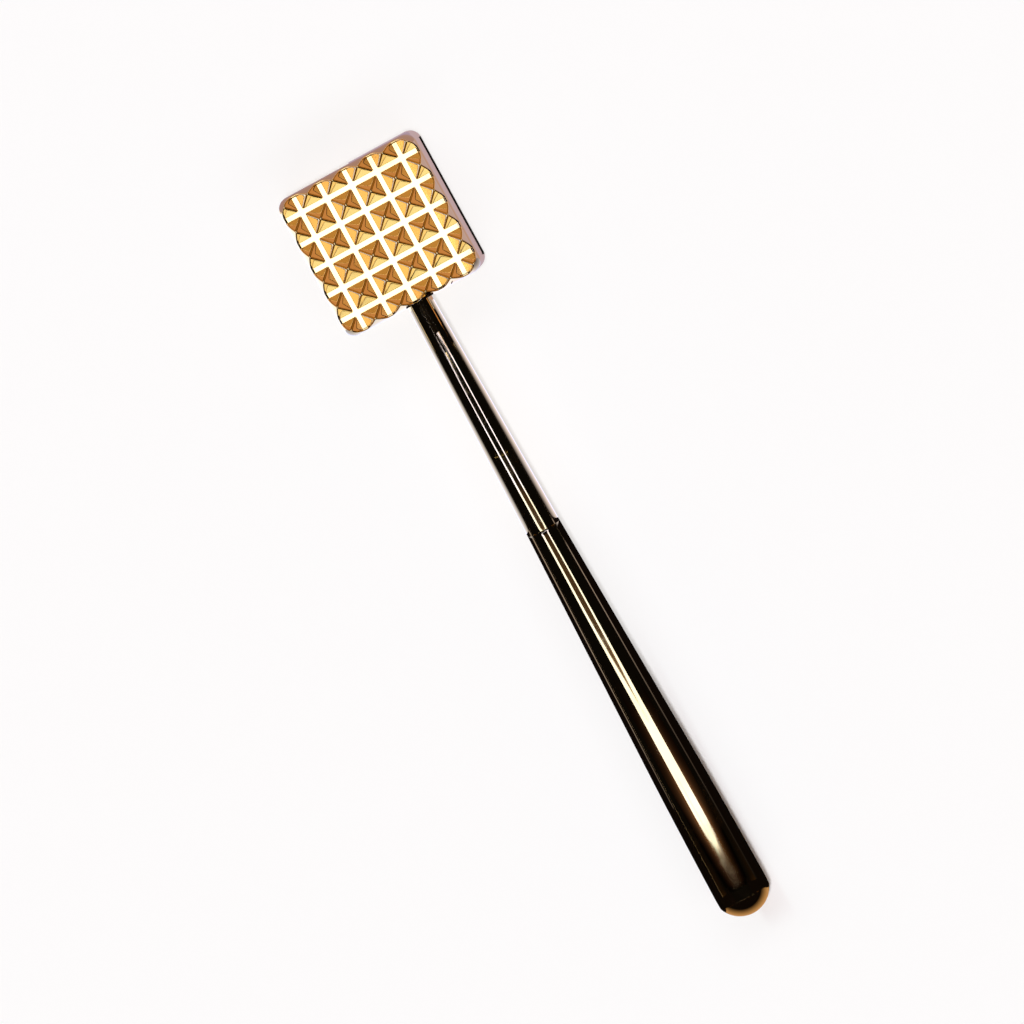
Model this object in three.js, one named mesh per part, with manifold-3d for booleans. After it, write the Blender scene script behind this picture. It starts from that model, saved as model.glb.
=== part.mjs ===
// Meat tenderizer with a toothed square head and a flared round handle.
// Millimetres, +Z up. The tool lies on the flat back of its head, teeth upwards, and the
// handle runs towards -Y. The origin is the centre of the head's back face.

import * as THREE from 'three';
import { mergeVertices } from 'three/addons/utils/BufferGeometryUtils.js';
import Module from 'manifold-3d';

const wasm = await Module();
wasm.setup();

// Head
const headWidth = 50;
const headHeight = 50;
const headDepth = 30;
const headCornerRadius = 4;
const headEdgeRadius = 1.6;
const frontBevelWidth = 2;

// Teeth
const teethAcross = 6;
const teethAlong = 6;
const toothPitch = 9.2;
const toothHeight = 3.1;
const grooveFloorWidth = 1.7;
const toothTipWidth = 0.4;

// Tang rod and its threads
const rodRadius = 2.5;
const headThreadLength = 16;
const nutThreadLength = 18;
const threadReliefDepth = 0.4;
const threadReliefWidth = 2;
const rodEndChamfer = 0.6;
const rodBeyondNut = 3;

// Shank, measured along the handle from the head's lower wall
const neckRadius = 4.35;
const shankEndRadius = 5.85;
const shankLength = 84;
const spotFaceDepth = 2;
const neckWasherThickness = 0.8;

// Grip
const gripWall = 1;
const gripTaperLength = 86;
const gripTaperEndRadius = 8.3;
const gripBendLength = 14;
const gripWidestRadius = 9.02;
const gripSwellLength = 45.5;
const gripRoundLength = 4;
const gripMouthRadius = 8.9;
const mouthRimWall = 1.15;
const mouthRimLength = 8;

// Butt cap
const domeRise = 5.8;
const capSpigotLength = 7;
const capWall = 1.2;

// Bushes, washer and nut
const jointBushLength = 12;
const jointBushRadius = 4.5;
const coneBushSetBack = 74;
const coneBushLength = 10;
const springWasherThickness = 1.2;
const springWasherRadius = 4.6;
const springWasherGapAngle = 0.3;
const nutAcrossFlats = 8;
const nutHeight = 4;

// Clearances
const radialClearance = 0.3;
const endClearance = 0.3;

// Facets
const outerFacets = 64;
const innerFacets = 32;
const cornerFacets = 8;
const edgeFacets = 4;
const swellFacets = 8;
const domeFacets = 10;

// Places that follow from the sizes above
const blockDepth = headDepth - toothHeight;
const handleAxisHeight = blockDepth / 2;
const rodBoreRadius = rodRadius + radialClearance;
const shankStart = neckWasherThickness + 2 * endClearance - spotFaceDepth;
const gripStart = shankLength + endClearance;
const gripSwellStart = gripStart + gripTaperLength;
const gripSwellEnd = gripSwellStart + gripSwellLength;
const gripMouth = gripSwellEnd + gripRoundLength;
const coneBushStart = gripStart + coneBushSetBack;
const springWasherStart = coneBushStart + coneBushLength + endClearance;
const nutStart = springWasherStart + springWasherThickness + endClearance;
const rodEnd = nutStart + nutHeight + rodBeyondNut;
const mouthBoreRadius = gripMouthRadius - mouthRimWall;
const capStart = gripMouth + endClearance;

// Finishes
const polishedBrass = { color: 0xd9a552, roughness: 0.08, metalness: 1 };
const bareBrass = { color: 0xb98f4a, roughness: 0.4, metalness: 1 };
const steel = { color: 0x9b9ea3, roughness: 0.35, metalness: 1 };
const fibre = { color: 0x7a2b20, roughness: 0.9, metalness: 0 };

function namedMesh(name, geometry, finish) {
  const mesh = new THREE.Mesh(geometry, new THREE.MeshStandardMaterial(finish));
  mesh.name = name;
  return mesh;
}

function toSolid(geometry) {
  const bare = geometry.clone();
  bare.deleteAttribute('normal');
  bare.deleteAttribute('uv');
  const merged = mergeVertices(bare, 1e-4);
  const vertProperties = Float32Array.from(merged.attributes.position.array);
  const triVerts = Uint32Array.from(merged.index.array);
  return new wasm.Manifold(new wasm.Mesh({ numProp: 3, vertProperties, triVerts }));
}

function toGeometry(solid) {
  const mesh = solid.getMesh();
  const geometry = new THREE.BufferGeometry();
  geometry.setAttribute('position', new THREE.BufferAttribute(mesh.vertProperties, 3));
  geometry.setIndex(new THREE.BufferAttribute(mesh.triVerts, 1));
  geometry.computeVertexNormals();
  return geometry;
}

// A turned piece. Its profile is a closed loop of [radius, distance along the handle],
// run outwards at the head's end and inwards at the butt's end.
function turned(profile, facets) {
  const points = profile.map(([radius, distance]) => new THREE.Vector2(radius, distance));
  return new THREE.LatheGeometry(points, facets);
}

function roundedRectangle(width, height, radius) {
  const x = width / 2;
  const y = height / 2;
  const shape = new THREE.Shape();
  shape.moveTo(x, -y + radius);
  shape.lineTo(x, y - radius);
  shape.absarc(x - radius, y - radius, radius, 0, Math.PI / 2);
  shape.lineTo(-x + radius, y);
  shape.absarc(-x + radius, y - radius, radius, Math.PI / 2, Math.PI);
  shape.lineTo(-x, -y + radius);
  shape.absarc(-x + radius, -y + radius, radius, Math.PI, 1.5 * Math.PI);
  shape.lineTo(x - radius, -y);
  shape.absarc(x - radius, -y + radius, radius, 1.5 * Math.PI, 2 * Math.PI);
  return shape;
}

// The head's outline at a height, drawn in from the wall by an inset.
function outlineAt(inset, height) {
  const outline = roundedRectangle(
    headWidth - 2 * inset,
    headHeight - 2 * inset,
    headCornerRadius - inset,
  );
  return outline.getPoints(cornerFacets).map((point) => [point.x, point.y, height]);
}

// The plain block before its teeth are cut. Its back edge is round, and a bevel as deep as
// the teeth slopes the outer teeth's outer sides.
function headBlank() {
  const points = [];
  for (let step = 0; step <= edgeFacets; step += 1) {
    const angle = step / edgeFacets * Math.PI / 2;
    const inset = headEdgeRadius * (1 - Math.sin(angle));
    points.push(...outlineAt(inset, headEdgeRadius * (1 - Math.cos(angle))));
  }
  points.push(...outlineAt(0, blockDepth));
  points.push(...outlineAt(frontBevelWidth, headDepth));
  return wasm.Manifold.hull(points);
}

// One groove between two rows of teeth: a flat floor with sloping sides, open at the top.
function grooveCutter(length) {
  const floor = grooveFloorWidth / 2;
  const mouth = (toothPitch - toothTipWidth) / 2;
  const slope = (mouth - floor) / toothHeight;
  const above = 1;
  const section = new THREE.Shape();
  section.moveTo(-floor, 0);
  section.lineTo(floor, 0);
  section.lineTo(floor + slope * (toothHeight + above), toothHeight + above);
  section.lineTo(-floor - slope * (toothHeight + above), toothHeight + above);
  section.closePath();
  const cutter = new THREE.ExtrudeGeometry(section, { depth: length, bevelEnabled: false });
  cutter.rotateX(Math.PI / 2);
  cutter.translate(0, length / 2, blockDepth);
  return cutter;
}

function cutTeeth(blank) {
  const overrun = 4;
  let head = blank;
  for (let row = 1; row < teethAcross; row += 1) {
    const along = grooveCutter(headHeight + overrun);
    along.translate((row - teethAcross / 2) * toothPitch, 0, 0);
    head = head.subtract(toSolid(along));
  }
  for (let row = 1; row < teethAlong; row += 1) {
    const across = grooveCutter(headWidth + overrun);
    across.rotateZ(Math.PI / 2);
    across.translate(0, (row - teethAlong / 2) * toothPitch, 0);
    head = head.subtract(toSolid(across));
  }
  return head;
}

// The spot face and the tapped hole, as one stepped cutter on the handle's axis.
function socketCutter() {
  const spotFaceRadius = neckRadius + radialClearance;
  const holeEnd = -spotFaceDepth - headThreadLength - endClearance;
  const drillPoint = rodBoreRadius / 2;
  const outside = 2;
  return turned([
    [0, holeEnd - drillPoint],
    [rodBoreRadius, holeEnd],
    [rodBoreRadius, -spotFaceDepth],
    [spotFaceRadius, -spotFaceDepth],
    [spotFaceRadius, outside],
    [0, outside],
  ], innerFacets);
}

function placeOnHandleAxis(object) {
  object.rotation.x = Math.PI;
  object.position.set(0, -headHeight / 2, handleAxisHeight);
  object.updateMatrixWorld();
  return object;
}

function headBlock() {
  const placed = placeOnHandleAxis(new THREE.Mesh(socketCutter()));
  const socket = placed.geometry.clone().applyMatrix4(placed.matrixWorld);
  const head = cutTeeth(headBlank()).subtract(toSolid(socket));
  return namedMesh('head_block', toGeometry(head), polishedBrass);
}

function neckWasher() {
  const start = endClearance - spotFaceDepth;
  const end = start + neckWasherThickness;
  return namedMesh('neck_washer', turned([
    [rodBoreRadius, start],
    [neckRadius, start],
    [neckRadius, end],
    [rodBoreRadius, end],
    [rodBoreRadius, start],
  ], innerFacets), fibre);
}

function shankSleeve() {
  const counterboreRadius = jointBushRadius + radialClearance;
  const counterboreStart = shankLength - jointBushLength / 2 - endClearance;
  return namedMesh('shank_sleeve', turned([
    [rodBoreRadius, shankStart],
    [neckRadius, shankStart],
    [neckRadius, 0],
    [shankEndRadius, shankLength],
    [counterboreRadius, shankLength],
    [counterboreRadius, counterboreStart],
    [rodBoreRadius, counterboreStart],
    [rodBoreRadius, shankStart],
  ], outerFacets), polishedBrass);
}

function jointBush() {
  const start = shankLength - jointBushLength / 2;
  const end = start + jointBushLength;
  return namedMesh('joint_bush', turned([
    [rodBoreRadius, start],
    [jointBushRadius, start],
    [jointBushRadius, end],
    [rodBoreRadius, end],
    [rodBoreRadius, start],
  ], innerFacets), bareBrass);
}

// The grip's outside: a straight taper, a slower swell to its widest place, and a round to
// the mouth. The swell leaves the taper without a kink and bends over the bend length.
function gripOutline() {
  const slope = (gripTaperEndRadius - shankEndRadius) / gripTaperLength;
  const bendRadius = gripTaperEndRadius + slope * gripBendLength;
  const swell = new THREE.QuadraticBezierCurve(
    new THREE.Vector2(gripTaperEndRadius, gripSwellStart),
    new THREE.Vector2(bendRadius, gripSwellStart + gripBendLength),
    new THREE.Vector2(gripWidestRadius, gripSwellEnd),
  );
  const round = new THREE.QuadraticBezierCurve(
    new THREE.Vector2(gripWidestRadius, gripSwellEnd),
    new THREE.Vector2(gripWidestRadius, gripSwellEnd + gripRoundLength / 2),
    new THREE.Vector2(gripMouthRadius, gripMouth),
  );
  return [
    [shankEndRadius, gripStart],
    ...swell.getPoints(swellFacets).map((point) => [point.x, point.y]),
    ...round.getPoints(edgeFacets).slice(1).map((point) => [point.x, point.y]),
  ];
}

function gripShell() {
  const outside = gripOutline();
  const rimStart = gripMouth - mouthRimLength;
  const inside = outside
    .filter(([, distance]) => distance < rimStart)
    .map(([radius, distance]) => [radius - gripWall, distance])
    .reverse();
  return namedMesh('grip_shell', turned([
    ...outside,
    [mouthBoreRadius, gripMouth],
    [mouthBoreRadius, rimStart],
    ...inside,
    [shankEndRadius, gripStart],
  ], outerFacets), polishedBrass);
}

// The straight taper of the grip's bore, as a radius at a distance along the handle.
function gripBoreRadius(distance) {
  const share = (distance - gripStart) / gripTaperLength;
  return THREE.MathUtils.lerp(shankEndRadius, gripTaperEndRadius, share) - gripWall;
}

function coneBush() {
  const end = coneBushStart + coneBushLength;
  return namedMesh('cone_bush', turned([
    [rodBoreRadius, coneBushStart],
    [gripBoreRadius(coneBushStart) - radialClearance, coneBushStart],
    [gripBoreRadius(end) - radialClearance, end],
    [rodBoreRadius, end],
    [rodBoreRadius, coneBushStart],
  ], outerFacets), bareBrass);
}

// A flat piece cut from sheet or bar, square to the handle's axis.
function flatPiece(shape, start, thickness) {
  const geometry = new THREE.ExtrudeGeometry(shape, {
    depth: thickness,
    bevelEnabled: false,
    curveSegments: innerFacets,
  });
  geometry.rotateX(Math.PI / 2);
  geometry.translate(0, start + thickness, 0);
  return geometry;
}

function springWasher() {
  const shape = new THREE.Shape();
  const first = springWasherGapAngle / 2;
  const last = 2 * Math.PI - first;
  shape.absarc(0, 0, springWasherRadius, first, last, false);
  shape.absarc(0, 0, rodBoreRadius, last, first, true);
  shape.closePath();
  const geometry = flatPiece(shape, springWasherStart, springWasherThickness);
  return namedMesh('spring_washer', geometry, steel);
}

function tensionNut() {
  const shape = new THREE.Shape();
  const cornerRadius = nutAcrossFlats / Math.sqrt(3);
  for (let corner = 0; corner < 6; corner += 1) {
    const angle = corner * Math.PI / 3;
    const x = cornerRadius * Math.cos(angle);
    const y = cornerRadius * Math.sin(angle);
    if (corner === 0) {
      shape.moveTo(x, y);
    } else {
      shape.lineTo(x, y);
    }
  }
  shape.closePath();
  const hole = new THREE.Path();
  hole.absarc(0, 0, rodBoreRadius, 0, 2 * Math.PI, true);
  shape.holes.push(hole);
  return namedMesh('tension_nut', flatPiece(shape, nutStart, nutHeight), steel);
}

function tangRod() {
  const start = -spotFaceDepth - headThreadLength;
  const frontRelief = -spotFaceDepth;
  const rearRelief = rodEnd - nutThreadLength;
  const reliefRadius = rodRadius - threadReliefDepth;
  return namedMesh('tang_rod', turned([
    [0, start],
    [rodRadius - rodEndChamfer, start],
    [rodRadius, start + rodEndChamfer],
    [rodRadius, frontRelief],
    [reliefRadius, frontRelief + threadReliefDepth],
    [reliefRadius, frontRelief + threadReliefWidth],
    [rodRadius, frontRelief + threadReliefWidth + threadReliefDepth],
    [rodRadius, rearRelief],
    [reliefRadius, rearRelief + threadReliefDepth],
    [reliefRadius, rearRelief + threadReliefWidth],
    [rodRadius, rearRelief + threadReliefWidth + threadReliefDepth],
    [rodRadius, rodEnd - rodEndChamfer],
    [rodRadius - rodEndChamfer, rodEnd],
    [0, rodEnd],
  ], innerFacets), steel);
}

// A domed cup: its spigot goes into the grip's mouth and its dome closes the end.
function buttCap() {
  const domeRadius = (gripMouthRadius ** 2 + domeRise ** 2) / (2 * domeRise);
  const domeCentre = capStart + domeRise - domeRadius;
  const domeHalfAngle = Math.asin(gripMouthRadius / domeRadius);
  const spigotRadius = mouthBoreRadius - radialClearance;
  const spigotBore = spigotRadius - capWall;
  const hollowEnd = capStart + capWall;
  const dome = [];
  for (let step = 0; step <= domeFacets; step += 1) {
    const angle = domeHalfAngle * (1 - step / domeFacets);
    const radius = step === domeFacets ? 0 : domeRadius * Math.sin(angle);
    dome.push([radius, domeCentre + domeRadius * Math.cos(angle)]);
  }
  return namedMesh('butt_cap', turned([
    [0, hollowEnd],
    [spigotBore, hollowEnd],
    [spigotBore, capStart - capSpigotLength],
    [spigotRadius, capStart - capSpigotLength],
    [spigotRadius, capStart],
    ...dome,
  ], outerFacets), polishedBrass);
}

const handle = placeOnHandleAxis(new THREE.Group());
handle.add(
  neckWasher(),
  shankSleeve(),
  jointBush(),
  gripShell(),
  coneBush(),
  springWasher(),
  tensionNut(),
  tangRod(),
  buttCap(),
);

const tenderizer = new THREE.Group();
tenderizer.add(headBlock(), handle);

export default tenderizer;
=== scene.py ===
"""Meat tenderizer: mirror-polished brass, on a pale floor under soft light. Metres, +Z up."""

import math

import bmesh
import bpy
import numpy as np
from mathutils import Matrix, Vector


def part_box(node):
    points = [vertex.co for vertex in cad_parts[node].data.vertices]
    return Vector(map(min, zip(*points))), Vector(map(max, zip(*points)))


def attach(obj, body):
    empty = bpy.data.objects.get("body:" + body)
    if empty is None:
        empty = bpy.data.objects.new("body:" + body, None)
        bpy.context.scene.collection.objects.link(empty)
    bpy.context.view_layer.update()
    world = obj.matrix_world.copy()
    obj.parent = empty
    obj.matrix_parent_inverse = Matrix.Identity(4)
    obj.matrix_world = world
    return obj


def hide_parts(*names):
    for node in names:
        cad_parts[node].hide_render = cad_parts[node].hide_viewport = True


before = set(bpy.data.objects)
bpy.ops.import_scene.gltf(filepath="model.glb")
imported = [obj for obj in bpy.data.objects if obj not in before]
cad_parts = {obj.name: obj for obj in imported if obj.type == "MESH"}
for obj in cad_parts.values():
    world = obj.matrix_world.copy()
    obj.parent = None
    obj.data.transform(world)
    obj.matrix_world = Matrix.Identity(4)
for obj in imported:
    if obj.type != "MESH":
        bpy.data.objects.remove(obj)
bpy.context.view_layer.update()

MM = 0.001

# Head, from the frame
head_low, head_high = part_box("head_block")
HEAD_HALF = head_high.x
HEAD_TOP = head_high.z
TOOTH_HEIGHT = 3.1 * MM
BLOCK_DEPTH = HEAD_TOP - TOOTH_HEIGHT
TOOTH_PITCH = 9.2 * MM
TOOTH_COUNT = 6
GROOVE_FLOOR = 1.7 * MM
TOOTH_TIP = 0.4 * MM
CORNER_RADIUS = 4 * MM
FRONT_BEVEL = 2 * MM

# Rounding of the cast and polished edges: the width over which two faces blend
APEX_ROUND = 0.14 * MM
RIDGE_BLEND = 0.36 * MM
VALLEY_BLEND = 0.05 * MM
BEVEL_BLEND = 0.3 * MM
FRONT_EDGE_BLEND = 1.2 * MM
BACK_EDGE_BLEND = 1.8 * MM

# How the head's skin is found: how far inside its walls the grid ends, the steps of halving, the
# longest rays, and how near counts as on the skin
EDGE_INSET = 1.6 * MM
CAST_HALVINGS = 40
CAST_REACH_UP = 6 * MM
CAST_REACH_OUT = 3 * MM
SKIN_TOLERANCE = 0.02 * MM

# Handle, measured from the head's lower wall
AXIS_HEIGHT = BLOCK_DEPTH / 2
HANDLE_START = head_low.y
NECK_RADIUS = 4.35 * MM
SHANK_END_RADIUS = 5.85 * MM
BORE_RADIUS = 2.8 * MM
SPOT_FACE_DEPTH = 2 * MM
SPOT_FACE_RADIUS = 4.5 * MM
TAPPED_HOLE_DEPTH = 16.3 * MM
COUNTERBORE_RADIUS = 4.8 * MM
COUNTERBORE_DEPTH = 6.3 * MM
GRIP_TAPER_LENGTH = 86 * MM
GRIP_TAPER_END_RADIUS = 8.3 * MM
GRIP_BEND_LENGTH = 14 * MM
GRIP_WIDEST_RADIUS = 9.02 * MM
GRIP_SWELL_LENGTH = 45.5 * MM
GRIP_ROUND_LENGTH = 4 * MM
GRIP_MOUTH_RADIUS = 8.9 * MM
GRIP_WALL = 1 * MM
MOUTH_RIM_WALL = 1.15 * MM
MOUTH_RIM_LENGTH = 8 * MM
SPIGOT_LENGTH = 7 * MM
SPIGOT_WALL = 1.2 * MM
PRESS_CLEARANCE = 0.3 * MM
SEAM_ROUND = 0.02 * MM
SEAM_GAP = 0.02 * MM
TURNED_SEGMENTS = 192
CUTTER_SEGMENTS = 96
SHARP_ANGLE = math.radians(25)

POLISHED_COLOUR = (0.92, 0.66, 0.33)
POLISHED_DRIFT = (0.97, 0.93, 0.86)
TURNED_COLOUR = (0.73, 0.56, 0.29)
STEEL_COLOUR = (0.61, 0.62, 0.64)
FIBRE_COLOUR = (0.48, 0.17, 0.13)


def smooth_max(a, b, blend):
    """The larger of two fields, rounded where they come within blend of each other."""
    nearness = np.maximum(blend - np.abs(a - b), 0) / blend
    return np.maximum(a, b) + nearness**2 * blend / 4


def smooth_min(a, b, blend):
    return -smooth_max(-a, -b, blend)


def flank_height(offset):
    """Height of the tooth flanks that face one way, at an offset across the rows.

    Past the last ridge the height stays the same: the bevel cuts the outer teeth there.
    """
    outer_ridge = (TOOTH_COUNT - 1) / 2 * TOOTH_PITCH
    inside = np.minimum(np.abs(offset), outer_ridge) / TOOTH_PITCH
    from_ridge = np.abs(inside - np.floor(inside) - 0.5) * TOOTH_PITCH
    slope = TOOTH_HEIGHT / ((TOOTH_PITCH - GROOVE_FLOOR - TOOTH_TIP) / 2)
    return TOOTH_HEIGHT - slope * (np.hypot(from_ridge, APEX_ROUND) - TOOTH_TIP / 2)


def head_field(points):
    """Below zero inside the head, above zero outside it."""
    x, y, z = points.T
    pyramids = smooth_min(flank_height(x), flank_height(y), RIDGE_BLEND)
    teeth = smooth_max(pyramids, 0 * pyramids, VALLEY_BLEND)
    straight = HEAD_HALF - CORNER_RADIUS
    across, along = np.abs(x) - straight, np.abs(y) - straight
    outside_corner = np.hypot(np.maximum(across, 0), np.maximum(along, 0))
    wall = outside_corner + np.minimum(np.maximum(across, along), 0) - CORNER_RADIUS
    above = z - BLOCK_DEPTH
    bevel = (wall * TOOTH_HEIGHT + above * FRONT_BEVEL) / math.hypot(TOOTH_HEIGHT, FRONT_BEVEL)
    front = smooth_max(smooth_max(above - teeth, bevel, BEVEL_BLEND), wall, FRONT_EDGE_BLEND)
    return smooth_max(front, -z, BACK_EDGE_BLEND)


def head_normals(points):
    step = 0.02 * MM
    gradient = np.empty_like(points)
    for axis in range(3):
        shift = np.zeros(3)
        shift[axis] = step
        gradient[:, axis] = head_field(points + shift) - head_field(points - shift)
    return gradient / np.linalg.norm(gradient, axis=1, keepdims=True)


def cast_to_surface(starts, directions, reach):
    """Where rays from inside the head leave it, found by halving the interval."""
    near = np.zeros(len(starts))
    far = np.full(len(starts), reach)
    for _ in range(CAST_HALVINGS):
        middle = (near + far) / 2
        inside = head_field(starts + directions * middle[:, None]) < 0
        near = np.where(inside, middle, near)
        far = np.where(inside, far, middle)
    return starts + directions * ((near + far) / 2)[:, None]


def round_the_corners(square, half, radius):
    """Moves points of a square grid so that its corners follow a quarter circle."""
    straight = half - radius
    over = np.maximum(np.abs(square) - straight, 0) / radius
    u, v = over.T
    disc = np.stack([u * np.sqrt(1 - v**2 / 2), v * np.sqrt(1 - u**2 / 2)], axis=1)
    kept = np.minimum(np.abs(square), straight)
    return np.sign(square) * (kept + disc * radius)


def mesh_object(name, points, faces):
    mesh = bpy.data.meshes.new(name)
    mesh.from_pydata(np.asarray(points).tolist(), [], faces)
    mesh.update()
    piece = bpy.data.objects.new(name, mesh)
    bpy.context.scene.collection.objects.link(piece)
    return piece


def grid_lines(half):
    """Where the head's grid has its lines: finer at the tooth tips and the groove floors."""
    floor_edge = (TOOTH_PITCH - GROOVE_FLOOR) / 2
    near_tip = np.array([0, 0.06, 0.13, 0.22, 0.34]) * MM
    near_floor = floor_edge + np.array([-0.1, -0.04, 0, 0.04, 0.1, 0.3]) * MM
    flank = np.linspace(near_tip[-1], near_floor[0], 12)[1:-1]
    one_side = np.concatenate([near_tip, flank, near_floor, [TOOTH_PITCH / 2]])
    lines = [-half, half]
    for row in range(TOOTH_COUNT):
        centre = (row - (TOOTH_COUNT - 1) / 2) * TOOTH_PITCH
        lines.extend(centre + one_side)
        lines.extend(centre - one_side)
    lines = np.unique(np.round(np.array(lines) / MM, 6)) * MM
    return lines[np.abs(lines) <= half]


def tooth_side(offset):
    """1 or -1: the side of the nearest tooth's centre line that an offset lies on."""
    place = offset / TOOTH_PITCH
    return np.where(place - np.floor(place) > 0.5, 1, -1)


def head_shell():
    """The closed skin of the head: a fine grid over the teeth, then loops down the wall.

    The last loops turn in under the back edge, and one flat face closes the back.
    """
    half = HEAD_HALF - EDGE_INSET
    steps = grid_lines(half)
    cells = len(steps) - 1
    grid = np.stack(np.meshgrid(steps, steps), axis=-1).reshape(-1, 2)
    plan = round_the_corners(grid, half, CORNER_RADIUS - EDGE_INSET)
    edge_height = BLOCK_DEPTH - EDGE_INSET
    starts = np.column_stack([plan, np.full(len(plan), edge_height)])
    up = np.tile([0.0, 0.0, 1.0], (len(plan), 1))
    top = cast_to_surface(starts, up, CAST_REACH_UP)

    side = cells + 1
    first = list(range(cells))
    second = [row * side + cells for row in range(cells)]
    third = [cells * side + column for column in range(cells, 0, -1)]
    fourth = [row * side for row in range(cells, 0, -1)]
    rim = np.array(first + second + third + fourth)
    rim_plan = plan[rim]
    straight = HEAD_HALF - CORNER_RADIUS
    out = rim_plan - np.clip(rim_plan, -straight, straight)
    out /= np.linalg.norm(out, axis=1, keepdims=True)
    outward = np.column_stack([out, np.zeros(len(rim))])
    downward = np.tile([0.0, 0.0, -1.0], (len(rim), 1))

    loops = []
    front_rows, wall_rows, back_rows = 26, 12, 10
    rise = (top[rim, 2] - edge_height)[:, None]
    for row in range(1, front_rows + 1):
        angle = row / front_rows * math.pi / 2
        aim = outward * math.sin(angle) * EDGE_INSET - downward * math.cos(angle) * rise
        aim /= np.linalg.norm(aim, axis=1, keepdims=True)
        loops.append(cast_to_surface(starts[rim], aim, CAST_REACH_UP))
    for row in range(1, wall_rows + 1):
        level = np.column_stack([rim_plan, np.full(len(rim), edge_height)])
        level[:, 2] += (EDGE_INSET - edge_height) * row / wall_rows
        loops.append(cast_to_surface(level, outward, CAST_REACH_OUT))
    low = np.column_stack([rim_plan, np.full(len(rim), EDGE_INSET)])
    for row in range(1, back_rows + 1):
        angle = row / back_rows * math.pi / 2
        aim = outward * math.cos(angle) + downward * math.sin(angle)
        loops.append(cast_to_surface(low, aim, CAST_REACH_OUT))

    faces = []
    sides = tooth_side((steps[1:] + steps[:-1]) / 2)
    for row in range(cells):
        for column in range(cells):
            here = row * side + column
            right, above, across = here + 1, here + side, here + side + 1
            if sides[row] == sides[column]:
                faces.extend([(here, right, across), (here, across, above)])
            else:
                faces.extend([(here, right, above), (right, across, above)])
    previous = rim
    base = len(top)
    for _ in loops:
        current = base + np.arange(len(rim))
        for here in range(len(rim)):
            there = (here + 1) % len(rim)
            faces.append(tuple(int(i) for i in (
                previous[there], previous[here], current[here], current[there],
            )))
        previous = current
        base += len(rim)
    faces.append(tuple(int(i) for i in previous[::-1]))
    return mesh_object("head_casting", np.concatenate([top] + loops), faces)


def turned_piece(name, profile, segments=TURNED_SEGMENTS):
    """A closed turned piece. Its profile is a loop of (radius, distance along the handle).

    Points with radius 0 lie on the axis and close the piece there.
    """
    rings = []
    points = []
    for radius, distance in profile:
        y = HANDLE_START - distance
        if radius == 0:
            rings.append([len(points)] * segments)
            points.append((0.0, y, AXIS_HEIGHT))
            continue
        rings.append(list(range(len(points), len(points) + segments)))
        for step in range(segments):
            angle = 2 * math.pi * step / segments
            points.append((radius * math.sin(angle), y, AXIS_HEIGHT + radius * math.cos(angle)))
    faces = []
    on_axis = profile[0][0] == 0
    last = len(rings) - 1 if on_axis else len(rings)
    for index in range(last):
        ring, following = rings[index], rings[(index + 1) % len(rings)]
        for step in range(segments):
            after = (step + 1) % segments
            corners = (ring[step], following[step], following[after], ring[after])
            faces.append(tuple(dict.fromkeys(corners)))
    piece = mesh_object(name, points, faces)
    smooth_by_angle(piece)
    return piece


def smooth_by_angle(piece):
    shape = bmesh.new()
    shape.from_mesh(piece.data)
    bmesh.ops.recalc_face_normals(shape, faces=shape.faces)
    for face in shape.faces:
        face.smooth = True
    for edge in shape.edges:
        edge.smooth = edge.calc_face_angle(0) < SHARP_ANGLE
    shape.to_mesh(piece.data)
    shape.free()


def rounded_corner(before, corner, after, radius, steps=4):
    """A few points that round a profile's corner."""
    before, corner, after = (np.array(point) for point in (before, corner, after))
    entry = corner + (before - corner) / np.linalg.norm(before - corner) * radius
    leave = corner + (after - corner) / np.linalg.norm(after - corner) * radius
    points = []
    for step in range(steps + 1):
        share = step / steps
        point = (1 - share) ** 2 * entry + 2 * share * (1 - share) * corner + share**2 * leave
        points.append(tuple(point))
    return points


def straight_run(start, end, steps):
    """Points along a straight stretch of profile, without its first point."""
    start, end = np.array(start), np.array(end)
    return [tuple(start + (end - start) * step / steps) for step in range(1, steps + 1)]


def bezier_run(start, control, end, steps):
    start, control, end = (np.array(point) for point in (start, control, end))
    points = []
    for step in range(1, steps + 1):
        share = step / steps
        point = (1 - share) ** 2 * start + 2 * share * (1 - share) * control + share**2 * end
        points.append(tuple(point))
    return points


def head_casting():
    head = head_shell()
    outside_wall = 2 * MM
    cutter = turned_piece(
        "socket_cutter",
        [
            (0, -TAPPED_HOLE_DEPTH - SPOT_FACE_DEPTH - BORE_RADIUS / 2),
            (BORE_RADIUS, -TAPPED_HOLE_DEPTH - SPOT_FACE_DEPTH),
            (BORE_RADIUS, -SPOT_FACE_DEPTH),
            (SPOT_FACE_RADIUS, -SPOT_FACE_DEPTH),
            (SPOT_FACE_RADIUS, outside_wall),
            (0, outside_wall),
        ],
        segments=CUTTER_SEGMENTS,
    )
    cut = head.modifiers.new("socket", "BOOLEAN")
    cut.operation = "DIFFERENCE"
    cut.solver = "EXACT"
    cut.object = cutter
    seen = bpy.context.evaluated_depsgraph_get()
    finished = bpy.data.meshes.new_from_object(head.evaluated_get(seen))
    head.modifiers.clear()
    head.data = finished
    bpy.data.objects.remove(cutter)
    set_head_normals(finished)
    return head


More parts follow.
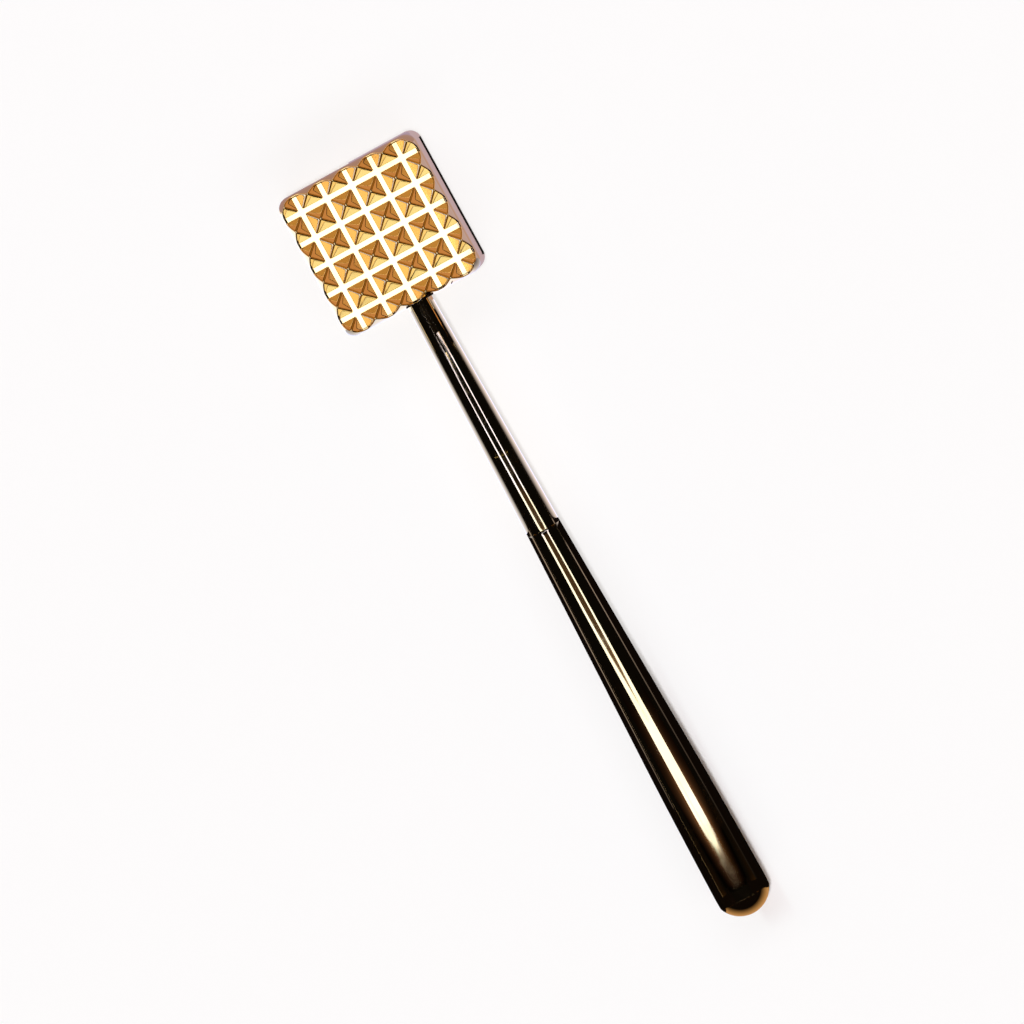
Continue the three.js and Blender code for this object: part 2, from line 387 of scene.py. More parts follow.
def set_head_normals(mesh):
    """Gives the casting the exact normals of its shape, and the socket flat ones."""
    for polygon in mesh.polygons:
        polygon.use_smooth = True
    count = len(mesh.vertices)
    points = np.empty(count * 3)
    mesh.vertices.foreach_get("co", points)
    points = points.reshape(-1, 3)
    normals = head_normals(points)
    on_skin = np.abs(head_field(points)) < SKIN_TOLERANCE
    split = []
    for polygon in mesh.polygons:
        on_socket = not all(on_skin[index] for index in polygon.vertices)
        for index in polygon.vertices:
            split.append(polygon.normal if on_socket else normals[index])
    mesh.normals_split_custom_set([tuple(normal) for normal in split])


shank_low, shank_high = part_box("shank_sleeve")
grip_low, grip_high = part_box("grip_shell")
cap_low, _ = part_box("butt_cap")
SHANK_START = HANDLE_START - shank_high.y
SHANK_END = HANDLE_START - shank_low.y
GRIP_START = SHANK_END + SEAM_GAP
GRIP_SWELL_START = HANDLE_START - grip_high.y + GRIP_TAPER_LENGTH
GRIP_SWELL_END = GRIP_SWELL_START + GRIP_SWELL_LENGTH
GRIP_MOUTH = HANDLE_START - grip_low.y
CAP_START = GRIP_MOUTH + SEAM_GAP
CAP_END = HANDLE_START - cap_low.y


def shank_sleeve():
    counterbore = SHANK_END - COUNTERBORE_DEPTH
    front = (NECK_RADIUS, SHANK_START)
    shoulder = (SHANK_END_RADIUS, SHANK_END)
    outer_start = (NECK_RADIUS, 0)
    taper_over_round = SEAM_ROUND / 40
    near_end = (SHANK_END_RADIUS - taper_over_round, SHANK_END - SEAM_ROUND)
    return turned_piece("shank_tube", [
        (BORE_RADIUS, SHANK_START),
        *rounded_corner((BORE_RADIUS, SHANK_START), front, outer_start, SEAM_ROUND),
        outer_start,
        *straight_run(outer_start, near_end, steps=40),
        *rounded_corner(near_end, shoulder, (COUNTERBORE_RADIUS, SHANK_END), SEAM_ROUND / 2)[1:],
        (COUNTERBORE_RADIUS, SHANK_END),
        (COUNTERBORE_RADIUS, counterbore),
        (BORE_RADIUS, counterbore),
    ])


def grip_shell():
    slope = (GRIP_TAPER_END_RADIUS - SHANK_END_RADIUS) / GRIP_TAPER_LENGTH
    bend_radius = GRIP_TAPER_END_RADIUS + slope * GRIP_BEND_LENGTH
    bend_control = (bend_radius, GRIP_SWELL_START + GRIP_BEND_LENGTH)
    taper_end = (GRIP_TAPER_END_RADIUS, GRIP_SWELL_START)
    widest = (GRIP_WIDEST_RADIUS, GRIP_SWELL_END)
    mouth = (GRIP_MOUTH_RADIUS, GRIP_MOUTH)
    taper_start = (SHANK_END_RADIUS, GRIP_START + SEAM_ROUND)
    round_control = (GRIP_WIDEST_RADIUS, GRIP_SWELL_END + GRIP_ROUND_LENGTH / 2)
    outside = [
        *straight_run(taper_start, taper_end, steps=60),
        *bezier_run(taper_end, bend_control, widest, steps=32),
        *bezier_run(widest, round_control, mouth, steps=12)[:-1],
    ]
    rim_start = GRIP_MOUTH - MOUTH_RIM_LENGTH
    rim_bore = GRIP_MOUTH_RADIUS - MOUTH_RIM_WALL
    inside = [
        (radius - GRIP_WALL, distance)
        for radius, distance in reversed(outside)
        if distance < rim_start
    ]
    edge = (SHANK_END_RADIUS, GRIP_START)
    return turned_piece("grip_tube", [
        *rounded_corner((SHANK_END_RADIUS - GRIP_WALL, GRIP_START), edge, taper_start, SEAM_ROUND),
        *outside,
        *rounded_corner(outside[-1], mouth, (rim_bore, GRIP_MOUTH), SEAM_ROUND),
        (rim_bore, GRIP_MOUTH),
        (rim_bore, rim_start),
        *inside,
        (SHANK_END_RADIUS - GRIP_WALL, GRIP_START),
    ])


def butt_cap():
    rise = CAP_END - CAP_START
    dome_radius = (GRIP_MOUTH_RADIUS**2 + rise**2) / (2 * rise)
    centre = CAP_START + rise - dome_radius
    half_angle = math.asin(GRIP_MOUTH_RADIUS / dome_radius)
    rings = 40
    dome = []
    for step in range(rings + 1):
        angle = half_angle * (1 - step / rings)
        radius = 0 if step == rings else dome_radius * math.sin(angle)
        dome.append((radius, centre + dome_radius * math.cos(angle)))
    spigot = GRIP_MOUTH_RADIUS - MOUTH_RIM_WALL - PRESS_CLEARANCE
    hollow_end = CAP_START + SPIGOT_WALL
    return turned_piece("butt_dome", [
        (0, hollow_end),
        (spigot - SPIGOT_WALL, hollow_end),
        (spigot - SPIGOT_WALL, CAP_START - SPIGOT_LENGTH),
        (spigot, CAP_START - SPIGOT_LENGTH),
        (spigot, CAP_START),
        *rounded_corner((spigot, CAP_START), dome[0], dome[1], SEAM_ROUND),
        *dome[1:],
    ])


class Nodes:
    """Short calls for building one node tree."""

    def __init__(self, tree):
        self.tree = tree
        tree.nodes.clear()

    def add(self, kind, **settings):
        node = self.tree.nodes.new(kind)
        for name, value in settings.items():
            setattr(node, name, value)
        return node

    def link(self, source, target):
        self.tree.links.new(source, target)

    def put(self, value, target):
        if isinstance(value, bpy.types.NodeSocket):
            self.link(value, target)
        else:
            target.default_value = value

    def math(self, operation, first, second=0.0):
        node = self.add("ShaderNodeMath", operation=operation)
        self.put(first, node.inputs[0])
        self.put(second, node.inputs[1])
        return node.outputs[0]

    def remap(self, value, low, high, to_low, to_high, smooth=False):
        node = self.add("ShaderNodeMapRange")
        if smooth:
            node.interpolation_type = "SMOOTHSTEP"
        for index, item in enumerate((value, low, high, to_low, to_high)):
            self.put(item, node.inputs[index])
        return node.outputs[0]

    def noise(self, scale, stretch=(1, 1, 1), detail=3.0, roughness=0.5):
        """Noise in the object's own metres; stretch above 1 packs it more tightly that way."""
        place = self.add("ShaderNodeTexCoord")
        mapping = self.add("ShaderNodeMapping")
        mapping.inputs["Scale"].default_value = stretch
        self.link(place.outputs["Object"], mapping.inputs["Vector"])
        node = self.add("ShaderNodeTexNoise")
        node.inputs["Scale"].default_value = scale
        node.inputs["Detail"].default_value = detail
        node.inputs["Roughness"].default_value = roughness
        self.link(mapping.outputs[0], node.inputs["Vector"])
        return node.outputs["Fac"]

    def blend(self, share, first, second):
        node = self.add("ShaderNodeMix", data_type="RGBA")
        self.put(share, node.inputs[0])
        node.inputs[6].default_value = (*first, 1)
        node.inputs[7].default_value = (*second, 1)
        return node.outputs[2]

    def bump(self, height, distance, strength=1.0, normal=None):
        node = self.add("ShaderNodeBump")
        node.inputs["Strength"].default_value = strength
        node.inputs["Distance"].default_value = distance
        self.link(height, node.inputs["Height"])
        if normal is not None:
            self.link(normal, node.inputs["Normal"])
        return node.outputs[0]


def new_material(name):
    material = bpy.data.materials.new(name)
    material.use_nodes = True
    nodes = Nodes(material.node_tree)
    shader = nodes.add("ShaderNodeBsdfPrincipled")
    output = nodes.add("ShaderNodeOutputMaterial")
    nodes.link(shader.outputs[0], output.inputs["Surface"])
    return material, nodes, shader


def tinted(colour, factor):
    return tuple(channel * factor for channel in colour)


def polished_brass():
    """Mirror-polished brass: faint buffing marks, a few finer smears, a slight drift in colour."""
    material, nodes, shader = new_material("polished_brass")
    shader.inputs["Metallic"].default_value = 1
    drift = nodes.noise(60, detail=2)
    warm = tuple(channel * share for channel, share in zip(POLISHED_COLOUR, POLISHED_DRIFT))
    colour = nodes.blend(nodes.remap(drift, 0.35, 0.7, 0, 1), POLISHED_COLOUR, warm)
    nodes.link(colour, shader.inputs["Base Color"])
    smears = nodes.remap(nodes.noise(110, detail=4), 0.52, 0.75, 0.045, 0.11)
    nodes.link(smears, shader.inputs["Roughness"])
    buffing = nodes.noise(900, stretch=(1, 0.04, 1), detail=2)
    ripple = nodes.bump(nodes.noise(70, detail=1), 0.02 * MM, 0.25)
    nodes.link(nodes.bump(buffing, 0.002 * MM, 0.3, ripple), shader.inputs["Normal"])
    return material


def turned_brass():
    """Brass left as it came off the lathe, with fine rings along the handle's axis."""
    material, nodes, shader = new_material("turned_brass")
    shader.inputs["Metallic"].default_value = 1
    drift = nodes.noise(300, detail=4)
    colour = nodes.blend(drift, TURNED_COLOUR, tinted(TURNED_COLOUR, 0.8))
    nodes.link(colour, shader.inputs["Base Color"])
    rings = nodes.noise(4000, stretch=(0.01, 1, 0.01), detail=2)
    nodes.link(nodes.remap(rings, 0.3, 0.7, 0.22, 0.42), shader.inputs["Roughness"])
    nodes.link(nodes.bump(rings, 0.01 * MM, 0.6), shader.inputs["Normal"])
    return material


def bright_steel():
    """Zinc-plated steel: a patchy plating over drawn bar."""
    material, nodes, shader = new_material("bright_steel")
    shader.inputs["Metallic"].default_value = 1
    patches = nodes.noise(400, detail=5)
    colour = nodes.blend(patches, STEEL_COLOUR, tinted(STEEL_COLOUR, 0.82))
    nodes.link(colour, shader.inputs["Base Color"])
    nodes.link(nodes.remap(patches, 0.3, 0.7, 0.25, 0.4), shader.inputs["Roughness"])
    drawn = nodes.noise(2500, stretch=(1, 0.02, 1), detail=2)
    nodes.link(nodes.bump(drawn, 0.006 * MM, 0.5), shader.inputs["Normal"])
    return material


def red_fibre():
    """Vulcanised fibre: matt, with short pale fibres pressed into it."""
    material, nodes, shader = new_material("red_fibre")
    fibres = nodes.noise(1500, stretch=(1, 3, 0.3), detail=5, roughness=0.7)
    share = nodes.remap(fibres, 0.4, 0.65, 0, 1)
    colour = nodes.blend(share, tinted(FIBRE_COLOUR, 0.75), tinted(FIBRE_COLOUR, 1.25))
    nodes.link(colour, shader.inputs["Base Color"])
    shader.inputs["Roughness"].default_value = 0.85
    nodes.link(nodes.bump(fibres, 0.03 * MM, 0.7), shader.inputs["Normal"])
    return material


def dress_object():
    brass = polished_brass()
    pieces = {
        "head_block": head_casting(),
        "shank_sleeve": shank_sleeve(),
        "grip_shell": grip_shell(),
        "butt_cap": butt_cap(),
    }
    for node, piece in pieces.items():
        piece.data.materials.clear()
        piece.data.materials.append(brass)
        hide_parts(node)
        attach(piece, "root")
    hidden = {
        turned_brass(): ("joint_bush", "cone_bush"),
        bright_steel(): ("tang_rod", "tension_nut", "spring_washer"),
        red_fibre(): ("neck_washer",),
    }
    for material, names in hidden.items():
        for name in names:
            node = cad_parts[name]
            node.data.materials.clear()
            node.data.materials.append(material)


# The camera looks at the place in the middle of the photograph, at the height of the handle's
# axis. Its tilts are fitted to the grid of grooves, and its roll to the handle's direction.
CAMERA_TARGET = Vector((-6.5 * MM, -99.32 * MM, AXIS_HEIGHT))
CAMERA_DISTANCE = 4
CAMERA_TILT_ACROSS = math.radians(5.201)
CAMERA_TILT_ALONG = math.radians(-2.729)
CAMERA_ROLL = math.radians(-28.682)
CAMERA_LENS = 435
CAMERA_SENSOR = 36

FLOOR_COLOUR = (0.94, 0.94, 0.975)
FLOOR_GLOW = (0.99, 0.99, 0.99)
FLOOR_GLOW_SHARE = 0.6
FLOOR_REACH = 40
FLOOR_LEVEL = -0.1 * MM

# Where the floor stops glowing beside the grip: each pair is where the change starts and ends
SHADE_INNER_X = (0.0, 0.002)
SHADE_OUTER_X = (0.0093, 0.0117)
SHADE_FIRST_Y = (-0.14, -0.205)
SHADE_LAST_Y = (-0.262, -0.252)


def add_camera():
    data = bpy.data.cameras.new("camera")
    data.sensor_width = CAMERA_SENSOR
    data.lens = CAMERA_LENS
    data.clip_start = 0.1
    data.clip_end = 100
    back = Vector((math.tan(CAMERA_TILT_ACROSS), -math.tan(CAMERA_TILT_ALONG), 1)).normalized()
    level = Vector((0, 1, 0)).cross(back).normalized()
    rise = back.cross(level)
    right = level * math.cos(CAMERA_ROLL) + rise * math.sin(CAMERA_ROLL)
    up = rise * math.cos(CAMERA_ROLL) - level * math.sin(CAMERA_ROLL)
    camera = bpy.data.objects.new("camera", data)
    turn = Matrix((right, up, back)).transposed().to_4x4()
    camera.matrix_world = Matrix.Translation(CAMERA_TARGET + back * CAMERA_DISTANCE) @ turn
    bpy.context.scene.collection.objects.link(camera)
    bpy.context.scene.camera = camera


def flat_sheet(name, x_span, y_span, height):
    (left, right), (near, far) = x_span, y_span
    corners = [(left, near), (right, near), (right, far), (left, far)]
    points = [(x, y, height) for x, y in corners]
    sheet = mesh_object(name, points, [(0, 1, 2, 3)])
    return sheet


def add_floor():
    """White paper that also glows towards the camera and the metal, so it stays pale.

    Close beside the grip, on its right, it doesn't glow, so the shadow there is at full depth.
    """
    reach = (-FLOOR_REACH, FLOOR_REACH)
    floor = flat_sheet("floor", reach, reach, FLOOR_LEVEL)
    material, nodes, shader = new_material("floor_paper")
    shader.inputs["Base Color"].default_value = (*FLOOR_COLOUR, 1)
    shader.inputs["Roughness"].default_value = 1
    shader.inputs["Specular IOR Level"].default_value = 0
    rays = nodes.add("ShaderNodeLightPath").outputs
    seen = nodes.math("MAXIMUM", rays["Is Camera Ray"], rays["Is Glossy Ray"])
    seen = nodes.math("MAXIMUM", seen, rays["Is Transmission Ray"])
    x, y, _ = place_in_metres(nodes)
    inner = nodes.remap(x, *SHADE_INNER_X, 0, 1)
    outer = nodes.remap(x, *SHADE_OUTER_X, 1, 0, True)
    beside = nodes.math("MULTIPLY", inner, outer)
    along = nodes.remap(y, *SHADE_FIRST_Y, 0, 1, True)
    before_end = nodes.remap(y, *SHADE_LAST_Y, 0, 1, True)
    shaded = nodes.math("MULTIPLY", beside, nodes.math("MULTIPLY", along, before_end))
    share = nodes.math("MULTIPLY", nodes.math("SUBTRACT", 1.0, shaded), FLOOR_GLOW_SHARE)
    mix = nodes.add("ShaderNodeMixShader")
    nodes.link(nodes.math("MULTIPLY", seen, share), mix.inputs[0])
    nodes.link(shader.outputs[0], mix.inputs[1])
    nodes.link(emission(nodes, FLOOR_GLOW), mix.inputs[2])
    output = nodes.add("ShaderNodeOutputMaterial")
    output.is_active_output = True
    nodes.link(mix.outputs[0], output.inputs["Surface"])
    floor.data.materials.append(material)


HEAD_LIGHT_HEIGHT = 0.55
NEAR_LIGHT_HEIGHT = 0.98
FAR_LIGHT_HEIGHT = 1.0
HANDLE_LIGHT_HEIGHT = 1.0
FILL_LIGHT_HEIGHT = HANDLE_LIGHT_HEIGHT + 0.002
HALO_LIGHT_HEIGHT = HANDLE_LIGHT_HEIGHT + 0.004


def add_material(piece, name, build_surface):
    """Gives a piece a material whose surface is what build_surface returns for its nodes."""
    material = bpy.data.materials.new(name)
    material.use_nodes = True
    nodes = Nodes(material.node_tree)
    output = nodes.add("ShaderNodeOutputMaterial")
    nodes.link(build_surface(nodes), output.inputs["Surface"])
    piece.data.materials.append(material)


def emission(nodes, colour, strength=1.0):
    glow = nodes.add("ShaderNodeEmission")
    glow.inputs["Color"].default_value = (*colour, 1)
    nodes.put(strength, glow.inputs["Strength"])
    return glow.outputs[0]


def shine_down(sheet, colour, strength=None):
    """Makes a sheet above the object glow downwards. The camera doesn't see it."""
    def surface(nodes):
        side = nodes.add("ShaderNodeNewGeometry").outputs["Backfacing"]
        clear = nodes.add("ShaderNodeBsdfTransparent")
        mix = nodes.add("ShaderNodeMixShader")
        nodes.link(side, mix.inputs[0])
        nodes.link(clear.outputs[0], mix.inputs[1])
        grade = 1.0 if strength is None else strength(nodes)
        nodes.link(emission(nodes, colour, grade), mix.inputs[2])
        return mix.outputs[0]

    add_material(sheet, sheet.name, surface)
    show_only_in_metal(sheet)


def light_sheet(name, x_span, y_span, height, colour):
    shine_down(flat_sheet(name, x_span, y_span, height), colour)


# Outlines of the lights over the handle: y, then the left bar's two edges and the right bar's.
# The bars run along the shank, meet over the grip, and close in a blunt point.
SHANK_LIGHT_ROWS = [
    (-0.026, 0.03, 0.03, 0.03, 0.06),
    (-0.030, 0.02, 0.02, 0.02, 0.22),
    (-0.033, 0.00, 0.02, 0.04, 0.42),
    (-0.036, -0.12, -0.06, 0.24, 0.46),
    (-0.040, -0.28, -0.18, 0.30, 0.46),
    (-0.058, -0.46, -0.37, 0.29, 0.40),
    (-0.080, -0.50, -0.37, 0.25, 0.36),
    (-0.100, -0.48, -0.28, 0.22, 0.34),
    (-0.106, -0.47, -0.27, 0.23, 0.36),
]
GRIP_LIGHT_ROWS = [
    (-0.106, -0.47, -0.27, 0.23, 0.36),
    (-0.120, -0.45, -0.24, 0.27, 0.41),
    (-0.142, -0.46, -0.24, 0.25, 0.41),
    (-0.160, -0.42, -0.16, 0.19, 0.39),
    (-0.174, -0.40, -0.04, 0.09, 0.39),
    (-0.182, -0.37, 0.02, 0.02, 0.39),
    (-0.265, -0.35, 0.03, 0.03, 0.41),
    (-0.273, -0.28, 0.03, 0.03, 0.35),
    (-0.279, -0.10, 0.03, 0.03, 0.16),
]
SHANK_LIGHT_COLOUR = (1.8, 2.2, 4.3)
GRIP_LIGHT_COLOUR = (1.7, 2.1, 2.9)
FILL_COLOUR = (1.0, 0.68, 0.42)
FILL_LEAST, FILL_GROWTH = 0.065, 0.3
HALO_COLOUR = (0.20, 0.115, 0.085)


def outlined_sheet(name, rows, height):
    """A level sheet given by rows of a y and the edges, in pairs, of the bars at that y."""
    points = []
    faces = []
    width = len(rows[0]) - 1
    for y, *edges in rows:
        points.extend((x, y, height) for x in edges)
    for row in range(len(rows) - 1):
        for bar in range(0, width, 2):
            first = width * row + bar
            faces.append((first + width, first + width + 1, first + 1, first))
    sheet = mesh_object(name, points, faces)
    return sheet


def handle_lights():
    over_shank = outlined_sheet("shank_light", SHANK_LIGHT_ROWS, HANDLE_LIGHT_HEIGHT)
    shine_down(over_shank, SHANK_LIGHT_COLOUR)
    over_grip = outlined_sheet("grip_light", GRIP_LIGHT_ROWS, HANDLE_LIGHT_HEIGHT)
    shine_down(over_grip, GRIP_LIGHT_COLOUR)


def place_in_metres(nodes):
    split = nodes.add("ShaderNodeSeparateXYZ")
    nodes.link(nodes.add("ShaderNodeTexCoord").outputs["Object"], split.inputs[0])
    return split.outputs


def falloff(nodes, distance, reach, power):
    """1 at no distance, half at the reach, and less and less beyond it."""
    share = nodes.math("POWER", nodes.math("DIVIDE", distance, reach), power)
    return nodes.math("DIVIDE", 1.0, nodes.math("ADD", share, 1.0))


def fill_light():
    """A sheet between the two bars that grows brighter towards the place where they join."""
    start, end = -0.104, -0.180
    sheet = flat_sheet("fill_light", (-0.33, 0.33), (end, start), FILL_LIGHT_HEIGHT)

    def strength(nodes):
        share = nodes.remap(place_in_metres(nodes)[1], start, end, 0, 1)
        growth = nodes.math("MULTIPLY", nodes.math("POWER", share, 5.0), FILL_GROWTH)
        return nodes.math("ADD", growth, FILL_LEAST)

    shine_down(sheet, FILL_COLOUR, strength)


def halo_light():
    """A warm glow beside and beyond the end of the light over the handle.

    It grows along the bar up to full_from, reaches less far beyond the bar's end than beside
    it, and fades out from fade_start to fade_end.
    """
    centre, half_width, bar_end = 0.03, 0.39, -0.277
    start, end = -0.190, -0.335
    full_from, first_share = -0.262, 0.2
    fade_start, fade_end = -0.284, -0.330
    squeeze_beyond = 30.0
    sheet = flat_sheet("halo_light", (-1.8, 1.8), (end, start), HALO_LIGHT_HEIGHT)

    def strength(nodes):
        x, y, _ = place_in_metres(nodes)
        beside = nodes.math("ABSOLUTE", nodes.math("SUBTRACT", x, centre))
        beside = nodes.math("MAXIMUM", nodes.math("SUBTRACT", beside, half_width), 0.0)
        beyond = nodes.math("MAXIMUM", nodes.math("SUBTRACT", bar_end, y), 0.0)
        away = nodes.math("ADD", beside, nodes.math("MULTIPLY", beyond, squeeze_beyond))
        growth = nodes.remap(y, start, full_from, first_share, 1)
        ending = nodes.remap(y, fade_end, fade_start, 0, 1, True)
        growth = nodes.math("MULTIPLY", growth, ending)
        glow = falloff(nodes, away, reach=0.17, power=1.5)
        return nodes.math("MULTIPLY", glow, growth)

    shine_down(sheet, HALO_COLOUR, strength)


def show_only_in_metal(card):
    card.visible_camera = False
    card.visible_diffuse = False
    card.visible_shadow = False


def standing_card(name, x_span, y_span, z_span, radiance, strength=None, lean=False):
    """A small card that stands up and is seen only in the metal.

    Its foot runs straight from the first x and y to the second ones. One that leans has its
    foot along the first y and its top along the second.
    """
    (x_first, x_second), (y_first, y_second), (low, high) = x_span, y_span, z_span
    foot_end, top_start = (y_first, y_second) if lean else (y_second, y_first)
    points = [
        (x_first, y_first, low),
        (x_second, foot_end, low),
        (x_second, y_second, high),
        (x_first, top_start, high),
    ]
    card = mesh_object(name, points, [(0, 1, 2, 3)])
    add_metal_only(card, radiance, strength)


def floor_card(name, x_span, y_span, radiance, strength=None, height=0.2 * MM):
    """A level card, seen only in the metal."""
    add_metal_only(flat_sheet(name, x_span, y_span, height), radiance, strength)


def add_metal_only(card, radiance, strength):
    def surface(nodes):
        return emission(nodes, radiance, 1.0 if strength is None else strength(nodes))

    add_material(card, card.name, surface)
    show_only_in_metal(card)


ACROSS, ALONG = 0, 1


def fading_from(axis, origin, reach, power):
    """A strength that is 1 where the x or y is the origin and falls away on both sides."""
    def strength(nodes):
        distance = nodes.math("SUBTRACT", place_in_metres(nodes)[axis], origin)
        return falloff(nodes, nodes.math("ABSOLUTE", distance), reach, power)
    return strength


# Radiance of the cards, and then of the sheets that light the grooves and the teeth's faces
CARD_BLACK = (0.004, 0.003, 0.003)
CARD_ORANGE = (0.61, 0.33, 0.15)
CARD_YELLOW = (1.1, 0.98, 0.55)
# The next three are painted shade: dim tinted floor cards that the head's walls and bevels show in
# place of the lit floor
PAINTED_SHADE_MAUVE = (0.53, 0.41, 0.47)
PAINTED_SHADE_LILAC = (0.55, 0.50, 0.78)
PAINTED_SHADE_DUSK = (0.42, 0.32, 0.42)
CARD_SKY = (1.2, 1.5, 2.3)
CARD_RIGHT_LINE = (0.32, 0.32, 0.45)
CARD_LEFT_LINE = (0.32, 0.33, 0.45)
CARD_SHANK_LEFT = (1.3, 1.6, 2.7)
CARD_SHANK_RIGHT = (1.55, 1.75, 2.9)
# A painted reflection: the dim warm card round the butt, seen only in the metal
PAINTED_BUTT_REFLECTION = (0.64, 0.42, 0.23)

GROOVE_LIGHT = (3.2, 3.2, 3.2)
LEFT_FACE_LIGHT = (1.4, 1.4, 1.28)
RIGHT_FACE_LIGHT = (0.66, 0.55, 0.4)
NEAR_FACE_LIGHT = (1.2, 1.73, 2.37)
FAR_FACE_LIGHT = (0.62, 0.52, 0.33)


def add_head_lights():
    """A sheet for each face of the teeth and for the grooves, and cards for what the walls show."""
    head_y, near_y, far_y = (-0.043, 0.019), (-0.279, -0.226), (0.25, 0.36)
    light_sheet("groove_light", (-0.081, -0.018), head_y, HEAD_LIGHT_HEIGHT, GROOVE_LIGHT)
    light_sheet("left_face_light", (-0.130, -0.083), head_y, HEAD_LIGHT_HEIGHT, LEFT_FACE_LIGHT)
    light_sheet("right_face_light", (0.175, 0.240), head_y, HEAD_LIGHT_HEIGHT, RIGHT_FACE_LIGHT)
    light_sheet("near_face_light", (-0.13, -0.05), near_y, NEAR_LIGHT_HEIGHT, NEAR_FACE_LIGHT)
    light_sheet("far_face_light", (-0.15, -0.03), far_y, FAR_LIGHT_HEIGHT, FAR_FACE_LIGHT)
    standing_card("far_glow", (-0.060, 0.010), (0.30, 0.30), (0.060, 0.095), CARD_ORANGE)
    standing_card("right_glow", (0.30, 0.30), (-0.036, 0.030), (0.080, 0.120), CARD_ORANGE)
    near_head = (-0.0815, -0.0816)
    standing_card("near_glow", (-0.034, 0.019), near_head, (0.035, 0.046), CARD_YELLOW, lean=True)

    floor_card("neck_flag", (-0.0062, 0.0), (-0.0435, -0.0262), CARD_BLACK, height=0.04)
    floor_card("neck_right_flag", (0, 0.0115), (-0.0366, -0.0262), CARD_BLACK, height=0.04)
    floor_card("neck_low_flag", (-0.004, 0.006), (-0.0300, -0.0251), CARD_BLACK, height=0.0235)
    neck_y = (-0.042, -0.0295)
    standing_card("neck_side_flag", (0.012, 0.012), neck_y, (0.0145, 0.0185), CARD_BLACK)

    # A black card at the head's foot, seen only in the metal: painted contact shadow, which the
    # lower wall and the back edge show as a dark line.
    foot_x, foot_y = (-0.0254, 0.0258), (-0.0222, 0.0214)
    floor_card("foot_shadow_card", foot_x, foot_y, CARD_BLACK, height=0.4 * MM)
    # How far the floor's cards reach to each side, and where their tint changes on the right
    side, bend = 0.35, 0.05
    # The mauve, lilac and dusk cards are painted shade: dim tinted cards, seen only in the metal,
    # in place of the lit floor.
    floor_card("head_right", (0, bend), (-0.027, 0.030), PAINTED_SHADE_MAUVE)
    floor_card("head_far_right", (bend, side), (-0.027, 0.030), PAINTED_SHADE_LILAC)
    floor_card("head_left", (-side, 0), (-0.027, 0.021), CARD_SKY)
    floor_card("head_beyond", (-side, side), (0.0255, 0.30), PAINTED_SHADE_DUSK, height=0.3 * MM)
    standing_card("head_left_wall", (-side, -side), (-0.026, 0.06), (0, 0.08), CARD_SKY)


# How far the handle's cards reach to each side
CARD_FAR = 0.6


def add_handle_lights():
    """The bright bars and their glow overhead, and the floor and walls that the sides show."""
    handle_lights()
    fill_light()
    halo_light()
    shank_y = (-0.1085, -0.027)
    grip_y = (-0.250, -0.1085)
    left, right = -CARD_FAR, CARD_FAR
    standing_card("left_flag", (left, left), (-0.5, -0.045), (0, 0.06), CARD_BLACK)
    standing_card("right_flag", (right, right), (-0.122, -0.045), (0, 0.06), CARD_BLACK)
    standing_card(
        "right_line", (right, right), (-0.5, -0.122), (0, 0.07), CARD_RIGHT_LINE,
        fading_from(ALONG, -0.115, reach=0.055, power=3.0),
    )
    left_fade = fading_from(ACROSS, 0.0, reach=0.042, power=1.3)
    right_fade = fading_from(ACROSS, 0.0, reach=0.022, power=1.4)
    # Glowing cards on the floor, seen only in the metal: painted reflections of pale floor in the
    # shank's sides, brightest right beside the shank.
    floor_card("shank_left", (left, 0), shank_y, CARD_SHANK_LEFT, left_fade)
    floor_card("shank_right", (0, right), shank_y, CARD_SHANK_RIGHT, right_fade)
    # A black card on the lit floor, seen only in the metal: a painted dark reflection that gives
    # the grip's sides their dark edges.
    floor_card("grip_black", (left, right), grip_y, CARD_BLACK)
    # A low glowing card beside the grip, seen only in the metal: a painted reflection, the thin
    # pale line inside the grip's left edge.
    standing_card(
        "left_line", (-0.060, -0.135), (-0.1085, -0.215), (0, 0.012), CARD_LEFT_LINE,
        fading_from(ALONG, -0.100, reach=0.095, power=5.0),
    )


# Outline of the card beyond the butt: y, then its left and right edges
BUTT_CARD_ROWS = [
    (-0.250, -0.0132, 0.0134),
    (-0.254, -0.019, 0.019),
    (-0.260, -0.030, 0.030),
    (-0.272, -0.066, 0.056),
    (-0.290, -0.110, 0.095),
    (-0.320, -0.140, 0.140),
    (-0.450, -0.300, 0.300),
]
BUTT_CARDS_END = -0.45

# The butt's card is brightest up to this radius round this place on the handle's midline
BRIGHT_CENTRE_Y = -0.242
BRIGHT_RADIUS = 0.009


def fading_round_butt(nodes):
    """A strength that is 1 close to the butt and falls away from it all round."""
    x, y, _ = place_in_metres(nodes)
    along = nodes.math("SUBTRACT", y, BRIGHT_CENTRE_Y)
    x_square, y_square = (nodes.math("MULTIPLY", side, side) for side in (x, along))
    from_centre = nodes.math("POWER", nodes.math("ADD", x_square, y_square), 0.5)
    distance = nodes.math("SUBTRACT", from_centre, BRIGHT_RADIUS)
    return falloff(nodes, nodes.math("MAXIMUM", distance, 0.0), reach=0.030, power=1.6)


